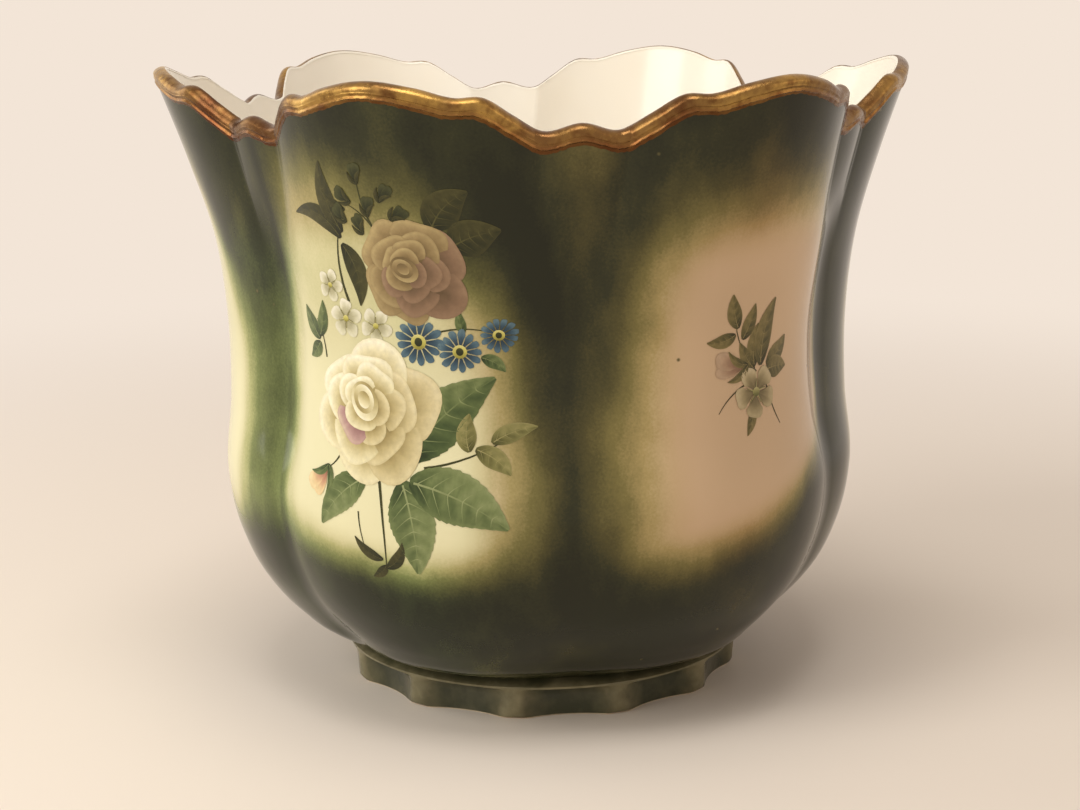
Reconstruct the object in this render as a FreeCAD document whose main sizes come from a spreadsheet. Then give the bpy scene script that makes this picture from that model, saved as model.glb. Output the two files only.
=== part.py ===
import FreeCAD, Part
import math
import os
import Sketcher

from FreeCAD import Vector

# Six-lobed earthenware planter with a scalloped gilt rim and a fluted foot ring.
# Millimetres, +Z up, origin on the table plane under the middle of the foot.
# Angles round the pot are in degrees from the front crease, which faces -Y, towards +X.

doc = FreeCAD.newDocument("planter")

# Driving sizes
sizes = {
    "rim_radius": 140.8,
    "body_height": 213.8,
    "wall": 5.0,
    "lip_wall": 4.0,
    "floor": 6.0,
    "crease_bend": 40.0,
    "scallop_depth": 16.4,
    "lip_fall": 1.2,
    "glaze": 0.5,
    "film": 0.3,
    "film_gap": 0.05,
    "gilt_drop": 4.6,
    "gilt_proud": 0.3,
    "foot_height": 16.0,
    "foot_radius": 74.5,
    "foot_flare": 1.0,
    "foot_width": 13.0,
    "foot_bevel": 1.2,
    "neck_height": 3.4,
    "neck_depth": 5.0,
    "flute_bend": 46.0,
    "flute_depth": 4.8,
    "spray_width": 88.0,
    "spray_height": 146.0,
    "spray_low": 60.0,
    "sprig_width": 42.0,
    "sprig_height": 50.0,
    "sprig_low": 109.0,
    "overrun": 12.0,
}
sheet = doc.addObject("Spreadsheet::Sheet", "sizes")
for row, (alias, value) in enumerate(sizes.items(), start=1):
    sheet.set("A%d" % row, alias)
    sheet.set("B%d" % row, str(value))
    sheet.setAlias("B%d" % row, alias)
doc.recompute()

LOBES = 6
FLUTES = 12
HALF_LOBE = 180 / LOBES

# The body's side, from the foot's top to above the lip, one section a row:
# shares of body_height, then of rim_radius at the crown of a lobe and in a crease.
side_shares = [
    (0.000, 0.536, 0.522),
    (0.019, 0.611, 0.575),
    (0.056, 0.683, 0.632),
    (0.121, 0.763, 0.723),
    (0.200, 0.819, 0.782),
    (0.305, 0.850, 0.811),
    (0.436, 0.835, 0.776),
    (0.580, 0.835, 0.765),
    (0.724, 0.861, 0.794),
]

# The same near the lip, where a narrow tab swells between the lobes. The last two
# numbers are the share of rim_radius where tab and lobe meet, and that corner's angle.
lip_shares = [
    (0.855, 0.921, 0.849, 0.845, 6.5),
    (1.000, 1.000, 0.908, 0.901, 7.7),
    (1.051, 1.027, 0.934, 0.926, 7.9),
]

# The lip's height over half a lobe, from the tab to the crown:
# the angle from the crease, and the share of scallop_depth below the crown.
scallop_shares = [
    (0.0, 0.87),
    (6.5, 1.00),
    (10.0, 0.70),
    (14.0, 0.34),
    (18.0, 0.33),
    (23.0, 0.14),
    (30.0, 0.00),
]

# The printed sprays' outlines, in shares of their width from the crown's middle line
# and of their height from their lower end.
spray_outline_shares = [
    (-0.06, 0.00), (0.10, 0.08), (0.36, 0.12), (0.44, 0.26), (0.38, 0.38), (0.50, 0.50),
    (0.42, 0.64), (0.46, 0.78), (0.24, 0.88), (0.04, 0.86), (-0.10, 1.00), (-0.22, 0.86),
    (-0.46, 0.80), (-0.36, 0.66), (-0.50, 0.50), (-0.46, 0.34), (-0.38, 0.16), (-0.16, 0.10),
]
sprig_outline_shares = [
    (0.02, 0.00), (0.20, 0.16), (0.46, 0.30), (0.50, 0.56), (0.28, 0.66), (0.12, 0.94),
    (-0.10, 1.00), (-0.26, 0.78), (-0.50, 0.66), (-0.40, 0.40), (-0.16, 0.22),
]


def measure(text):
    """The value of a sum of zero and the sheet's sizes, such as "foot_height + floor"."""
    total = 0
    sign = 1
    for word in text.split():
        if word in ("+", "-"):
            sign = 1 if word == "+" else -1
        elif word.isidentifier():
            total += sign * getattr(sheet, word)
    return total


def bind(target, prop, text):
    """Bind a property to a sum of the sheet's sizes."""
    words = ["sizes." + word if word.isidentifier() else word for word in text.split()]
    target.setExpression(prop, " ".join(words))


def at(angle, radius, height):
    """The point at an angle round the pot, a radius and a height."""
    turn = math.radians(angle)
    return Vector(radius * math.sin(turn), -radius * math.cos(turn), height)


def feature(name, shape):
    """A plain shape, kept in the document under its name."""
    item = doc.addObject("Part::Feature", name)
    item.Shape = shape
    return item


def boolean(kind, name, base, tool):
    """A Part::Cut or Part::Common of two of the document's objects."""
    item = doc.addObject("Part::" + kind, name)
    item.Base = base
    item.Tool = tool
    return item


def valley_joint(crown, crease, bend):
    """Where a lobe's arc meets the rounded crease tangentially, as a radius and an angle."""
    half = math.radians(HALF_LOBE)
    outer = crown + bend
    inner = crease + bend
    lobe_centre = (outer ** 2 - inner ** 2) / (2 * (outer - inner * math.cos(half)))
    across = lobe_centre * math.sin(half)
    along = lobe_centre * math.cos(half) - inner
    reach = bend / math.hypot(across, along)
    return math.hypot(across * reach, inner + along * reach), math.degrees(
        math.atan2(across * reach, inner + along * reach))


def side_sections():
    """Every section as its height, crown, crease, joint radius and joint angle."""
    base = sheet.foot_height
    rows = []
    for height, crown, crease in side_shares:
        crown_radius = crown * sheet.rim_radius
        crease_radius = crease * sheet.rim_radius
        joint = valley_joint(crown_radius, crease_radius, sheet.crease_bend)
        rows.append((base + height * sheet.body_height, crown_radius, crease_radius) + joint)
    for height, crown, tab, joint, angle in lip_shares:
        radii = [share * sheet.rim_radius for share in (crown, tab, joint)]
        rows.append((base + height * sheet.body_height, *radii, angle))
    return rows


def outward(rows, index):
    """The side's outward direction at a section, as its radial and its upward part."""
    low = rows[max(index - 1, 0)]
    high = rows[min(index + 1, len(rows) - 1)]
    rise = high[0] - low[0]
    spread = (high[1] + high[2] - low[1] - low[2]) / 2
    length = math.hypot(rise, spread)
    return rise / length, -spread / length


def lobed_wire(height, crown, crease, joint, joint_angle):
    """A closed outline of six lobe arcs and six crease arcs."""
    edges = []
    for lobe in range(LOBES):
        middle = 2 * HALF_LOBE * lobe
        first = at(middle - joint_angle, joint, height)
        second = at(middle + joint_angle, joint, height)
        third = at(middle + 2 * HALF_LOBE - joint_angle, joint, height)
        edges.append(Part.Arc(first, at(middle, crease, height), second).toShape())
        edges.append(Part.Arc(second, at(middle + HALF_LOBE, crown, height), third).toShape())
    return Part.Wire(edges)


def lobed_loft(name, lower_offset, upper_offset, solid=True):
    """The pot's side, full or as a surface, moved outward by an offset that may vary upward."""
    rows = side_sections()
    sections = []
    for index, (height, crown, crease, joint, angle) in enumerate(rows):
        rise_share = (height - rows[0][0]) / (rows[-1][0] - rows[0][0])
        offset = lower_offset + (upper_offset - lower_offset) * rise_share
        radial, upward = outward(rows, index)
        grow = offset * radial
        wire = lobed_wire(height + offset * upward, crown + grow, crease + grow, joint + grow, angle)
        sections.append(feature("%s_section_%d" % (name, index + 1), wire))
    loft = doc.addObject("Part::Loft", name)
    loft.Sections = sections
    loft.Solid = solid
    return loft


def lip_radius(angle, height):
    """The outside's radius at the lip, at an angle from the crease and a height."""
    crown, tab, joint, joint_angle = side_sections()[-2][1:]
    below = side_sections()[-3]
    rim_height = sheet.foot_height + sheet.body_height
    flare = (crown - below[1]) / (rim_height - below[0])
    if angle < joint_angle:
        radius = tab + (joint - tab) * angle / joint_angle
    else:
        span = math.radians(HALF_LOBE - joint_angle)
        centre = (crown ** 2 - joint ** 2) / (2 * (crown - joint * math.cos(span)))
        turn = math.radians(HALF_LOBE - angle)
        chord = math.sqrt((crown - centre) ** 2 - (centre * math.sin(turn)) ** 2)
        radius = centre * math.cos(turn) + chord
    return radius - flare * (rim_height - height)


def lip_curve(name, distance, drop):
    """A closed curve that follows the scalloped lip, beside it by a distance, and lower."""
    rising = scallop_shares[:-1]
    falling = [(2 * HALF_LOBE - angle, share) for angle, share in reversed(scallop_shares[1:])]
    points = []
    for lobe in range(LOBES):
        for angle, share in rising + falling:
            from_crease = min(angle, 2 * HALF_LOBE - angle)
            height = sheet.foot_height + sheet.body_height - share * sheet.scallop_depth
            radius = lip_radius(from_crease, height) + distance
            fall = distance / sheet.lip_wall * sheet.lip_fall
            points.append(at(2 * HALF_LOBE * lobe + angle, radius, height - drop - fall))
    curve = Part.BSplineCurve()
    curve.interpolate(Points=points, PeriodicFlag=True)
    return feature(name, curve.toShape())


def above_lip(name, drop, height):
    """A ring-shaped block that stands on the lip's line, lowered by a drop."""
    inner = lip_curve(name + "_inner_line", -sheet.wall - sheet.overrun, drop)
    outer = lip_curve(name + "_outer_line", sheet.overrun, drop)
    face = doc.addObject("Part::RuledSurface", name + "_face")
    face.Curve1 = (inner, ["Edge1"])
    face.Curve2 = (outer, ["Edge1"])
    block = doc.addObject("Part::Extrusion", name)
    block.Base = face
    block.DirMode = "Custom"
    block.Dir = Vector(0, 0, 1)
    block.Solid = True
    bind(block, "LengthFwd", height)
    return block


def outward_extrusion(name, base, angle, length):
    """A face or surface drawn outward at an angle round the pot."""
    block = doc.addObject("Part::Extrusion", name)
    block.Base = base
    block.DirMode = "Custom"
    block.Dir = at(angle, 1, 0)
    block.Solid = True
    bind(block, "LengthFwd", length)
    return block


def drum(name, radius, height):
    """A round block on the table plane, its radius and height bound to the sheet."""
    block = doc.addObject("Part::Cylinder", name)
    bind(block, "Radius", radius)
    bind(block, "Height", height)
    return block


def bound_sketch(body, name, role):
    """A new sketch on one of a body's own planes."""
    sketch = body.newObject("Sketcher::SketchObject", name)
    plane = next(item for item in body.Origin.OriginFeatures if item.Role == role)
    sketch.AttachmentSupport = [(plane, "")]
    sketch.MapMode = "FlatFace"
    return sketch


def bound_outline(sketch, corners):
    """A closed outline of straight lines, each corner bound to two sums of sizes."""
    places = [Vector(measure(across), measure(up), 0) for across, up in corners]
    for index, place in enumerate(places):
        sketch.addGeometry(Part.LineSegment(place, places[(index + 1) % len(places)]), False)
    for index in range(len(places)):
        following = (index + 1) % len(places)
        sketch.addConstraint(Sketcher.Constraint("Coincident", index, 2, following, 1))
    for index, (across, up) in enumerate(corners):
        for kind, text in (("DistanceX", across), ("DistanceY", up)):
            constraint = Sketcher.Constraint(kind, -1, 1, index, 1, measure(text))
            number = sketch.addConstraint(constraint)
            bind(sketch, "Constraints[%d]" % number, text)


def fluted_ring(name, grow, low, top):
    """The foot's ring, turned and then fluted, its outside grown by a size."""
    body = doc.addObject("PartDesign::Body", name)
    profile = bound_sketch(body, name + "_profile", "XZ_Plane")
    inner = "foot_radius - foot_width"
    bound_outline(profile, [
        (inner, low),
        ("foot_radius - foot_bevel" + grow, low),
        ("foot_radius" + grow, low + " + foot_bevel"),
        ("foot_radius + foot_flare" + grow, top + " - neck_height"),
        ("foot_radius - neck_depth" + grow, top),
        (inner, top),
    ])
    ring = body.newObject("PartDesign::Revolution", name + "_turned")
    ring.Profile = profile
    ring.ReferenceAxis = (profile, ["V_Axis"])
    ring.Angle = 360
    circle = bound_sketch(body, name + "_flute_circle", "XY_Plane")
    centre = "foot_radius - flute_depth + flute_bend" + grow
    place = Vector(0, -measure(centre), 0)
    circle.addGeometry(Part.Circle(place, Vector(0, 0, 1), sheet.flute_bend), False)
    circle.addConstraint(Sketcher.Constraint("PointOnObject", 0, 3, -2))
    away = circle.addConstraint(Sketcher.Constraint("DistanceY", 0, 3, -1, 1, measure(centre)))
    bind(circle, "Constraints[%d]" % away, centre)
    bend = circle.addConstraint(Sketcher.Constraint("Radius", 0, sheet.flute_bend))
    bind(circle, "Constraints[%d]" % bend, "flute_bend")
    flute = body.newObject("PartDesign::Pocket", name + "_flute")
    flute.Profile = circle
    flute.Type = "Length"
    flute.Reversed = True
    bind(flute, "Length", "foot_height - neck_height")
    pattern = body.newObject("PartDesign::PolarPattern", name + "_flutes")
    pattern.Originals = [flute]
    pattern.Axis = (circle, ["N_Axis"])
    pattern.Angle = 360
    pattern.Occurrences = FLUTES
    body.Tip = pattern
    return body


def transfer(name, outline_shares, width, height, low, angle):
    """A printed transfer: a film in a spray's outline, raised from the glaze at an angle."""
    points = []
    for across, up in outline_shares:
        side = Vector(across * width, -sheet.rim_radius / 2, low + up * height)
        points.append(FreeCAD.Rotation(Vector(0, 0, 1), angle).multVec(side))
    curve = Part.BSplineCurve()
    curve.interpolate(Points=points, PeriodicFlag=True)
    outline = feature(name + "_outline", Part.Face(Part.Wire(curve.toShape())))
    prism = outward_extrusion(name + "_prism", outline, angle, "rim_radius")
    patch = boolean("Common", name + "_patch", glaze_surface, prism)
    return outward_extrusion(name, patch, angle, "film")


# The clay body: a lobed wall with a flat floor, open at the top
far_up = "scallop_depth + overrun + overrun"
outside = lobed_loft("outside", 0, 0)
above_clay = above_lip("above_clay", 0, far_up)
clay_core = boolean("Cut", "clay_core", outside, above_clay)
hollow = lobed_loft("hollow", -sheet.wall, -sheet.lip_wall)
floor_block = drum("floor_block", "rim_radius", "foot_height + floor")
cavity = boolean("Cut", "cavity", hollow, floor_block)
clay = boolean("Cut", "earthenware_body", clay_core, cavity)

# The foot ring under it, and the glaze on the ring's fluted side
foot = fluted_ring("foot_ring", "", "0", "foot_height")
glazed_foot = fluted_ring("glazed_foot", " + glaze", "foot_bevel", "foot_height")
foot_glaze = boolean("Cut", "foot_glaze", glazed_foot, foot)

# The glaze outside, which stops at the gilding above and at the foot below
glazed_outside = lobed_loft("glazed_outside", sheet.glaze, sheet.glaze)
above_band = above_lip("above_band", sheet.gilt_drop, far_up)
glazed_core = boolean("Cut", "glazed_core", glazed_outside, above_band)
foot_hole = drum("foot_hole", "foot_radius - foot_width", "foot_height + glaze")
glazed_ring = boolean("Cut", "glazed_ring", glazed_core, foot_hole)
glazed_side = boolean("Cut", "glazed_side", glazed_ring, glazed_foot)
outside_glaze = boolean("Cut", "outside_glaze", glazed_side, outside)

# The glaze on the bare clay inside the foot ring
recess_glaze = drum("recess_glaze", "foot_radius - foot_width", "glaze")
bind(recess_glaze, "Placement.Base.z", "foot_height - glaze")

# The white glaze that lines the inside, up to the gilt lip
lined_hollow = lobed_loft("lined_hollow", -sheet.wall - sheet.glaze, -sheet.lip_wall - sheet.glaze)
lining_block = drum("lining_block", "rim_radius", "foot_height + floor + glaze")
lined_cavity = boolean("Cut", "lined_cavity", lined_hollow, lining_block)
gilt_coat = sheet.glaze + sheet.gilt_proud
above_gilt = above_lip("above_gilt", -gilt_coat, far_up)
filled_cavity = boolean("Cut", "filled_cavity", cavity, above_gilt)
inside_glaze = boolean("Cut", "inside_glaze", filled_cavity, lined_cavity)

# The gold band over the lip, which stands a little proud of the glaze below it
gilt_outside = lobed_loft("gilt_outside", gilt_coat, gilt_coat)
gilt_band = above_lip("gilt_band", sheet.gilt_drop, "gilt_drop + glaze + gilt_proud")
gilt_slab = boolean("Common", "gilt_slab", gilt_outside, gilt_band)
gilt_ring = boolean("Cut", "gilt_ring", gilt_slab, hollow)
gilt = boolean("Cut", "gilt_rim", gilt_ring, clay_core)

# The printed transfers, fired on the glaze: a large spray beside a small sprig, once on the
# two front lobes and once on the two back ones
film_seat = sheet.glaze + sheet.film_gap
glaze_surface = lobed_loft("glaze_surface", film_seat, film_seat, solid=False)
transfers = []
for number in range(2):
    spray_angle = 180 * number - HALF_LOBE
    transfers.append(transfer("rose_spray_transfer_%d" % (number + 1), spray_outline_shares,
                              sheet.spray_width, sheet.spray_height, sheet.spray_low, spray_angle))
    transfers.append(transfer("sprig_transfer_%d" % (number + 1), sprig_outline_shares,
                              sheet.sprig_width, sheet.sprig_height, sheet.sprig_low,
                              spray_angle + 2 * HALF_LOBE))

pieces = [clay, foot, foot_glaze, outside_glaze, recess_glaze, inside_glaze, gilt] + transfers
doc.recompute()

# Every object is checked before anything is written
for item in doc.Objects:
    if "Invalid" in item.State or "Error" in item.State:
        raise RuntimeError("%s was not made: %s" % (item.Label, item.State))
for piece in pieces:
    shape = piece.Shape
    if shape.isNull() or not shape.isValid() or not shape.Solids:
        raise RuntimeError("%s has no valid solid" % piece.Label)

os.makedirs("parts", exist_ok=True)
for piece in pieces:
    piece.Shape.exportStep("parts/%s.step" % piece.Label)
    box = piece.Shape.BoundBox
    print("%-24s %d solid, %9.0f mm3, z %.1f to %.1f" % (
        piece.Label, len(piece.Shape.Solids), piece.Shape.Volume, box.ZMin, box.ZMax))
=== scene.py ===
# %% [markdown]
# # Pottery planter
# The pot is slip-cast earthenware: six lobes stand round a fluted foot, and the wall flares
# out into a scalloped lip. Green glaze was airbrushed round cream panels, printed flowers
# were fired onto the panels, the inside was lined in white, and the lip was brushed with gold.
# This lesson loads the engineering model as a fixed frame and then builds each fired layer
# over it, from the clay outward. Lengths are in millimetres until a mesh is made.

import math

import bpy
import numpy as np
from mathutils import Matrix


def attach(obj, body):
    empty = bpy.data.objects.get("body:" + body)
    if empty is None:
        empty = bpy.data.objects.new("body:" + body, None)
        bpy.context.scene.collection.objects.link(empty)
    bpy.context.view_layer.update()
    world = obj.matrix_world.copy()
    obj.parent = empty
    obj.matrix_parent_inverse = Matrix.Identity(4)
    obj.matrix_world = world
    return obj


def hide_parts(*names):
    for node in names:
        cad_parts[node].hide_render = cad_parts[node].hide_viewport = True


MM = 0.001
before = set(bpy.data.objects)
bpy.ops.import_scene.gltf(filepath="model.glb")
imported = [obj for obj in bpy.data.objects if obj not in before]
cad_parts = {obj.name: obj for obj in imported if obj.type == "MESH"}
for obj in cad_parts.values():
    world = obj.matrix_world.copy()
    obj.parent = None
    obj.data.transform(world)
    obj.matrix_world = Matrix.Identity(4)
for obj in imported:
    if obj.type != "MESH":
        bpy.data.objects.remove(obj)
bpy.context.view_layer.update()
print("CAD nodes:", sorted(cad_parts))

# %% [markdown]
# ## Camera
# A camera is a lens length, a place and a turn. The view is from a little above the lip,
# about 0.8 m away and just left of the front crease, through a short telephoto lens. The
# turns are made one after the other, as on a tripod: heading, then tilt, then a slight roll.

# %% Camera
camera_data = bpy.data.cameras.new("camera")
camera_data.sensor_width = 36
camera_data.lens = 69.7
camera = bpy.data.objects.new("camera", camera_data)
scene = bpy.context.scene
scene.collection.objects.link(camera)
scene.camera = camera

camera_distance = 0.7915
camera_height = 0.2687
camera_heading = math.radians(-6.883)
camera_tilt = math.radians(11.99)
camera_roll = math.radians(-0.587)
camera_place = Matrix.Translation((
    camera_distance * math.sin(camera_heading),
    -camera_distance * math.cos(camera_heading),
    camera_height,
))
camera.matrix_world = (
    camera_place
    @ Matrix.Rotation(camera_heading, 4, "Z")
    @ Matrix.Rotation(math.radians(90) - camera_tilt, 4, "X")
    @ Matrix.Rotation(camera_roll, 4, "Z")
)
print("camera stands at", [round(v, 3) for v in camera.location])

# %% [markdown]
# ## Paint and shader helpers
# A colour picked by eye is in display values from 0 to 255, while a shader wants linear
# light, so one helper turns the first into the second. Another adds a node to a tree and
# sets or links each named socket. With short helpers for the usual nodes, and one for mesh
# objects, the cells below stay short and show only what is special to each layer.

# %% Paint and shader helpers
def linear_light(colours):
    """Display colours from 0 to 255 as linear light from 0 to 1."""
    shares = np.asarray(colours, float) / 255
    return np.where(shares <= 0.04045, shares / 12.92, ((shares + 0.055) / 1.055)**2.4)


def paint(*colour):
    """A display colour as linear RGBA."""
    return (*linear_light(colour).tolist(), 1.0)


def add_node(tree, kind, sockets=None, **settings):
    """Adds a shader node, sets its settings, and sets or links its input sockets."""
    made = tree.nodes.new("ShaderNode" + kind)
    for name, value in settings.items():
        setattr(made, name, value)
    for key, value in (sockets or {}).items():
        if isinstance(value, bpy.types.NodeSocket):
            tree.links.new(value, made.inputs[key])
        else:
            made.inputs[key].default_value = value
    return made


def object_place(tree):
    """The place on the pot that a pattern follows."""
    return add_node(tree, "TexCoord").outputs["Object"]


def noise(tree, place, scale, detail, rough=0.55):
    """A noise pattern's value over a place socket."""
    return add_node(tree, "TexNoise", {
        "Vector": place, "Scale": scale, "Detail": detail, "Roughness": rough}).outputs["Fac"]


def spread(tree, value, low, high, to_low=0, to_high=1):
    """A value stretched from one range to another, and held inside it."""
    return add_node(tree, "MapRange", {
        "Value": value, "From Min": low, "From Max": high,
        "To Min": to_low, "To Max": to_high}).outputs["Result"]


def blend_colours(tree, share, first, second, kind="MIX"):
    """Two colours mixed by a share."""
    sockets = {0: share, 6: first, 7: second}
    return add_node(tree, "Mix", sockets, data_type="RGBA", blend_type=kind).outputs[2]


def work_out(tree, operation, *values):
    """A maths node on up to three values."""
    return add_node(tree, "Math", dict(enumerate(values)), operation=operation).outputs[0]


def stored(tree, name, output="Fac"):
    """A number or a colour that a mesh keeps at its points."""
    return add_node(tree, "Attribute", attribute_name=name).outputs[output]


def new_material(name, **settings):
    """A material with its nodes, its Principled shader's settings, and a place to follow."""
    material = bpy.data.materials.new(name)
    material.use_nodes = True
    tree = material.node_tree
    shader = tree.nodes["Principled BSDF"]
    for socket, value in settings.items():
        shader.inputs[socket].default_value = value
    return material, tree, shader, object_place(tree)


def colour_ramp(tree, value, *stops):
    """A ramp over a value from 0 to 1, through stops of a position and a display colour."""
    ramp = add_node(tree, "ValToRGB", {"Fac": value})
    elements = ramp.color_ramp.elements
    for element, (position, *colour) in zip(elements, (stops[0], stops[-1])):
        element.position = position
        element.color = paint(*colour)
    for position, *colour in stops[1:-1]:
        elements.new(position).color = paint(*colour)
    return ramp.outputs["Color"]


def mesh_object(name, points, faces, material):
    """A mesh object in the scene, from points in metres."""
    mesh = bpy.data.meshes.new(name)
    mesh.from_pydata(points, [], faces)
    mesh.materials.append(material)
    made = bpy.data.objects.new(name, mesh)
    scene.collection.objects.link(made)
    return made


print("cream is", [round(v, 3) for v in paint(226, 224, 184)])

# %% [markdown]
# ## Studio
# The pot stands on a plain pale floor in soft light. A tall lamp on the left, like a window,
# lights the left panel and leaves the right one in shade. One behind it catches the left
# edge, one overhead lights the lip and the inside, and a weak warm one fills from the right.
# The floor fades into the backdrop's colour with distance, so no horizon shows. The world
# shows its full colour to the camera and to reflections, and lights the rest more softly.

# %% Studio
scene.view_settings.view_transform = "Standard"
backdrop_colour = paint(243, 229, 215)
sky_light = 0.43

world = bpy.data.worlds.new("studio")
scene.world = world
world.use_nodes = True
tree = world.node_tree
rays = add_node(tree, "LightPath").outputs
seen = work_out(tree, "MAXIMUM", rays["Is Camera Ray"], rays["Is Glossy Ray"])
seen = work_out(tree, "MAXIMUM", seen, rays["Is Transmission Ray"])
sky = tree.nodes["Background"].inputs
sky["Color"].default_value = backdrop_colour
tree.links.new(spread(tree, seen, 0, 1, sky_light), sky["Strength"])

floor_material, tree, shader, place = new_material("pale_floor", Roughness=0.6)
shader.inputs["Base Color"].default_value = paint(242, 231, 219)
distance = add_node(tree, "VectorMath", {0: place}, operation="LENGTH").outputs["Value"]
fade = add_node(tree, "MapRange", {
    "Value": distance, "From Min": 0.2, "From Max": 0.95}, interpolation_type="SMOOTHSTEP")
glow = add_node(tree, "Emission", {"Color": backdrop_colour})
mixed = add_node(tree, "MixShader", {0: fade.outputs[0], 1: shader.outputs[0], 2: glow.outputs[0]})
tree.links.new(mixed.outputs[0], tree.nodes["Material Output"].inputs["Surface"])

reach = 30.0
floor_corners = [(-reach, -reach, 0), (reach, -reach, 0), (reach, reach, 0), (-reach, reach, 0)]
floor_plane = mesh_object("floor", floor_corners, [(0, 1, 2, 3)], floor_material)
pot_middle = 0.12


def soft_lamp(name, heading, height, distance, width, tall, power, colour):
    """A soft lamp at a heading from the front towards +X, turned to the pot's middle."""
    lamp = bpy.data.lights.new(name, "AREA")
    lamp.shape = "RECTANGLE"
    lamp.size = width
    lamp.size_y = tall
    lamp.energy = power
    lamp.color = colour
    stand = bpy.data.objects.new(name, lamp)
    scene.collection.objects.link(stand)
    turn = math.radians(heading)
    stand.location = (distance * math.sin(turn), -distance * math.cos(turn), height)
    stand.rotation_euler = (math.atan2(distance, height - pot_middle), 0, turn)


soft_lamp("window", -64, 0.75, 1.25, 0.7, 1.1, 10.4, (1.0, 0.985, 0.93))
soft_lamp("window_edge", -118, 0.55, 1.2, 0.5, 1.0, 2.8, (1.0, 0.985, 0.93))
soft_lamp("warm_fill", 62, 0.7, 1.5, 0.9, 0.9, 1.8, (1.0, 0.84, 0.70))
soft_lamp("overhead", -12, 1.7, 0.45, 0.8, 0.8, 9.8, (1.0, 0.97, 0.93))

# %% [markdown]
# ## The wall's shape
# The wall could be read off the CAD mesh, but its small flat faces would show in a glossy
# glaze. It is drawn again from the same few sections instead: at each height, the radius at
# the crown of a lobe, in the crease between two lobes, and where the two arcs meet. Smooth
# curves through the sections give a radius for any angle and height.

# %% The wall's measures
LOBES = 6
LOBE = 60.0
HALF_LOBE = 30.0
rim_radius = 140.8
body_height = 213.8
foot_height = 16.0
wall_low = 5.0
wall_high = 4.0
inside_floor = 22.0
inside_corner = 4.0
crease_bend = 40.0
scallop_depth = 16.4
lip_fall = 1.2
lip_roundness = 1.2
glaze = 0.5
clay_gap = 0.02

# Shares of body_height above the foot, and of rim_radius at the crown and in the crease
side_shares = [
    (0.000, 0.536, 0.522), (0.019, 0.611, 0.575), (0.056, 0.683, 0.632),
    (0.121, 0.763, 0.723), (0.200, 0.819, 0.782), (0.305, 0.850, 0.811),
    (0.436, 0.835, 0.776), (0.580, 0.835, 0.765), (0.724, 0.861, 0.794),
]
# The same near the lip, with the radius and the angle where tab and lobe meet
lip_shares = [
    (0.855, 0.921, 0.849, 0.845, 6.5),
    (1.000, 1.000, 0.908, 0.901, 7.7),
    (1.051, 1.027, 0.934, 0.926, 7.9),
]
# The lip's line over half a lobe: angle from the crease, share of scallop_depth below the crown
scallop_shares = [
    (0.0, 0.87), (6.5, 1.00), (10.0, 0.70), (14.0, 0.34), (18.0, 0.33), (23.0, 0.14), (30.0, 0.0),
]


# %% The wall's radius at any angle and height
def smooth_through(xs, ys, x):
    """A smooth curve through points, with each point's slope taken from its neighbours."""
    slopes = np.gradient(ys, xs)
    k = np.clip(np.searchsorted(xs, x) - 1, 0, len(xs) - 2)
    gap = xs[k + 1] - xs[k]
    t = (x - xs[k]) / gap
    start = (2 * t**3 - 3 * t**2 + 1) * ys[k] + (t**3 - 2 * t**2 + t) * slopes[k] * gap
    return start + (3 * t**2 - 2 * t**3) * ys[k + 1] + (t**3 - t**2) * slopes[k + 1] * gap


def valley_joint(crown, crease):
    """Where a lobe's arc meets the rounded crease, as a radius and an angle."""
    half = math.radians(HALF_LOBE)
    outer = crown + crease_bend
    inner = crease + crease_bend
    lobe_centre = (outer**2 - inner**2) / (2 * (outer - inner * math.cos(half)))
    across = lobe_centre * math.sin(half)
    along = lobe_centre * math.cos(half) - inner
    reach = crease_bend / math.hypot(across, along)
    x = across * reach
    y = inner + along * reach
    return math.hypot(x, y), math.degrees(math.atan2(x, y))


sections = []
for height, crown, crease in side_shares:
    radii = (crown * rim_radius, crease * rim_radius)
    sections.append((foot_height + height * body_height, *radii, *valley_joint(*radii)))
for height, crown, crease, joint, angle in lip_shares:
    radii = [share * rim_radius for share in (crown, crease, joint)]
    sections.append((foot_height + height * body_height, *radii, angle))
sections = np.array(sections)


def section_at(z):
    """Crown, crease and joint radius and joint angle at a height."""
    return [smooth_through(sections[:, 0], sections[:, k], z) for k in (1, 2, 3, 4)]


def wall_radius(from_crease, z):
    """The clay's outside radius at an angle from the nearest crease and a height."""
    crown, crease, joint, joint_angle = section_at(z)
    span = np.radians(HALF_LOBE - joint_angle)
    centre = (crown**2 - joint**2) / (2 * (crown - joint * np.cos(span)))
    turn = np.radians(HALF_LOBE - from_crease)
    chord = np.maximum((crown - centre)**2 - (centre * np.sin(turn))**2, 0)
    lobe = centre * np.cos(turn) + np.sqrt(chord)
    flat = joint * np.cos(np.radians(joint_angle))
    swell = (crease - flat) * (1 - (from_crease / joint_angle)**2)
    valley = (flat + swell) / np.cos(np.radians(from_crease))
    return np.where(from_crease < joint_angle, valley, lobe)


def wall_lean(z, step=1.5):
    """The wall's outward direction at a height, as its radial and its upward part."""
    low = section_at(z - step)
    high = section_at(z + step)
    slope = (high[0] + high[1] - low[0] - low[1]) / (4 * step)
    length = np.sqrt(1 + slope**2)
    return 1 / length, -slope / length


def nearest_crease(angle):
    """The angle from the nearest crease, never negative."""
    return HALF_LOBE - np.abs(np.mod(angle, LOBE) - HALF_LOBE)


def place_round(angle, radius, z):
    """Points at angles from the front crease towards +X, at radii and heights."""
    turn = np.radians(angle)
    parts = np.broadcast_arrays(radius * np.sin(turn), -radius * np.cos(turn), z)
    return np.stack(parts, axis=-1)


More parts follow.
